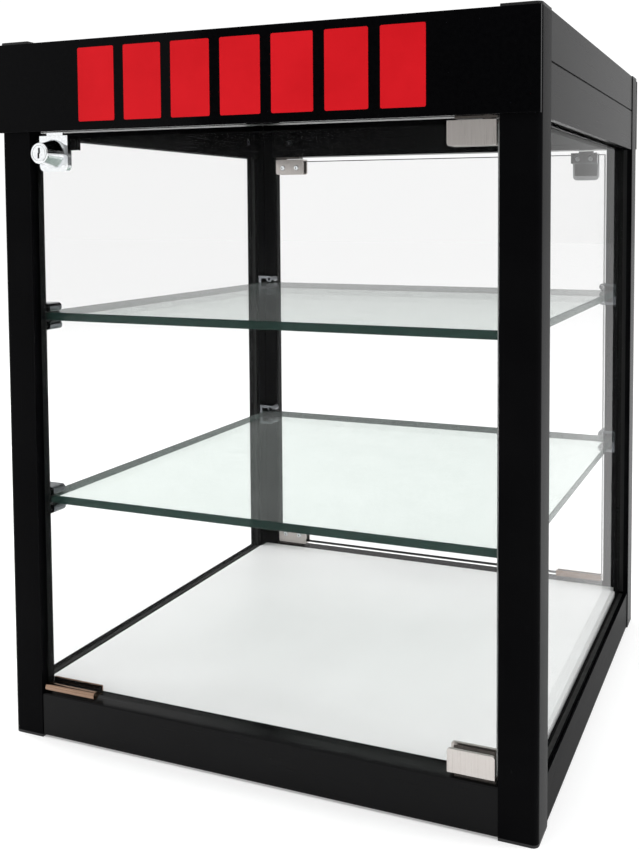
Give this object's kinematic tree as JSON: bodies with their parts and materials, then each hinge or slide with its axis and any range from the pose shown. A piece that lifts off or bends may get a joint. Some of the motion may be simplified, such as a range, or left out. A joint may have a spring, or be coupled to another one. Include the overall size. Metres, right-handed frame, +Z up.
{
  "type": "tabletop display case",
  "caption": "Black framed countertop showcase with glass sides, fixed glass shelves and a pivoting lockable glass door at front and rear.",
  "frame": {"origin": "middle of the footprint at the underside of the foot caps", "axes": "+Z up, front fascia towards -Y, +X to the right seen from the front"},
  "size_m": [0.4, 0.4144, 0.512],
  "materials": {
    "black_anodised_aluminium": "satin black anodised extrusion",
    "gloss_black": "gloss black",
    "black_panel": "matt black sheet",
    "black_plastic": "moulded matt black",
    "red_film": "plain red vinyl film",
    "white_board": "white laminate board",
    "clear_glass": "clear float glass with green edges",
    "black_rubber": "soft black rubber",
    "zinc_plated_steel": "zinc plated",
    "polished_chrome": "polished chrome plate",
    "smoked_chrome": "dark smoked chrome plate",
    "brushed_nickel": "upright brushed nickel",
    "bronze_metal": "satin champagne bronze"
  },
  "bodies": {
    "frame": {"front_left_post": "black_anodised_aluminium", "front_right_post": "black_anodised_aluminium", "rear_left_post": "black_anodised_aluminium", "rear_right_post": "black_anodised_aluminium", "post_top_caps": "black_plastic", "post_foot_caps": "black_plastic", "front_bottom_rail": "black_anodised_aluminium", "rear_bottom_rail": "black_anodised_aluminium", "left_bottom_rail": "black_anodised_aluminium", "right_bottom_rail": "black_anodised_aluminium", "front_header_rail": "black_anodised_aluminium", "rear_header_rail": "black_anodised_aluminium", "left_header": "black_anodised_aluminium", "right_header": "black_anodised_aluminium", "front_fascia": "gloss_black", "rear_fascia": "gloss_black", "fascia_graphics": "red_film", "top_panel": "black_panel", "deck_board": "white_board", "left_glass": "clear_glass", "right_glass": "clear_glass", "glazing_seals": "black_rubber", "frame_connectors": "zinc_plated_steel", "connector_screws": "zinc_plated_steel", "upper_shelf": "clear_glass", "lower_shelf": "clear_glass", "upper_shelf_clips": "smoked_chrome", "lower_shelf_clips": "smoked_chrome", "shelf_clip_pads": "black_rubber", "shelf_clip_screws": "polished_chrome", "front_pivot_seats": "brushed_nickel", "rear_pivot_seats": "brushed_nickel", "pivot_seat_screws": "zinc_plated_steel"},
    "front_door": {"front_door_glass": "clear_glass", "front_upper_hinge": "brushed_nickel", "front_lower_hinge": "brushed_nickel", "front_hinge_pins": "zinc_plated_steel", "front_hinge_pads": "black_rubber", "front_hinge_screws": "polished_chrome", "front_edge_clip": "bronze_metal", "front_lock_body": "polished_chrome", "front_lock_pads": "black_rubber", "front_lock_grub_screws": "zinc_plated_steel"},
    "front_plug": {"front_lock_plug": "polished_chrome"},
    "front_bolt": {"front_lock_bolt": "polished_chrome"},
    "rear_door": {"rear_door_glass": "clear_glass", "rear_upper_hinge": "brushed_nickel", "rear_lower_hinge": "brushed_nickel", "rear_hinge_pins": "zinc_plated_steel", "rear_hinge_pads": "black_rubber", "rear_hinge_screws": "polished_chrome", "rear_edge_clip": "bronze_metal", "rear_lock_body": "polished_chrome", "rear_lock_pads": "black_rubber", "rear_lock_grub_screws": "zinc_plated_steel"},
    "rear_plug": {"rear_lock_plug": "polished_chrome"},
    "rear_bolt": {"rear_lock_bolt": "polished_chrome"}
  },
  "joints": [
    {"name": "front_door_pivot", "type": "hinge", "parent": "frame", "child": "front_door", "pos_m": [0.166, -0.184, 0.24], "axis": [0, 0, 1], "range_deg": [0, 105]},
    {"name": "rear_door_pivot", "type": "hinge", "parent": "frame", "child": "rear_door", "pos_m": [-0.166, 0.184, 0.24], "axis": [0, 0, 1], "range_deg": [0, 105]},
    {"name": "front_lock_turn", "type": "hinge", "parent": "front_door", "child": "front_plug", "pos_m": [-0.1538, -0.19, 0.4309], "axis": [0, -1, 0], "range_deg": [0, 90]},
    {"name": "front_bolt_slide", "type": "slide", "parent": "front_door", "child": "front_bolt", "axis": [0, 0, 1], "range_m": [0, 0.0055]},
    {"name": "rear_lock_turn", "type": "hinge", "parent": "rear_door", "child": "rear_plug", "pos_m": [0.1538, 0.19, 0.4309], "axis": [0, 1, 0], "range_deg": [0, 90]},
    {"name": "rear_bolt_slide", "type": "slide", "parent": "rear_door", "child": "rear_bolt", "axis": [0, 0, 1], "range_m": [0, 0.0055]}
  ],
  "couplings": [
    {"joint": "front_lock_turn", "follows": "front_bolt_slide", "rad_per_m": 285.6},
    {"joint": "rear_lock_turn", "follows": "rear_bolt_slide", "rad_per_m": 285.6}
  ]
}
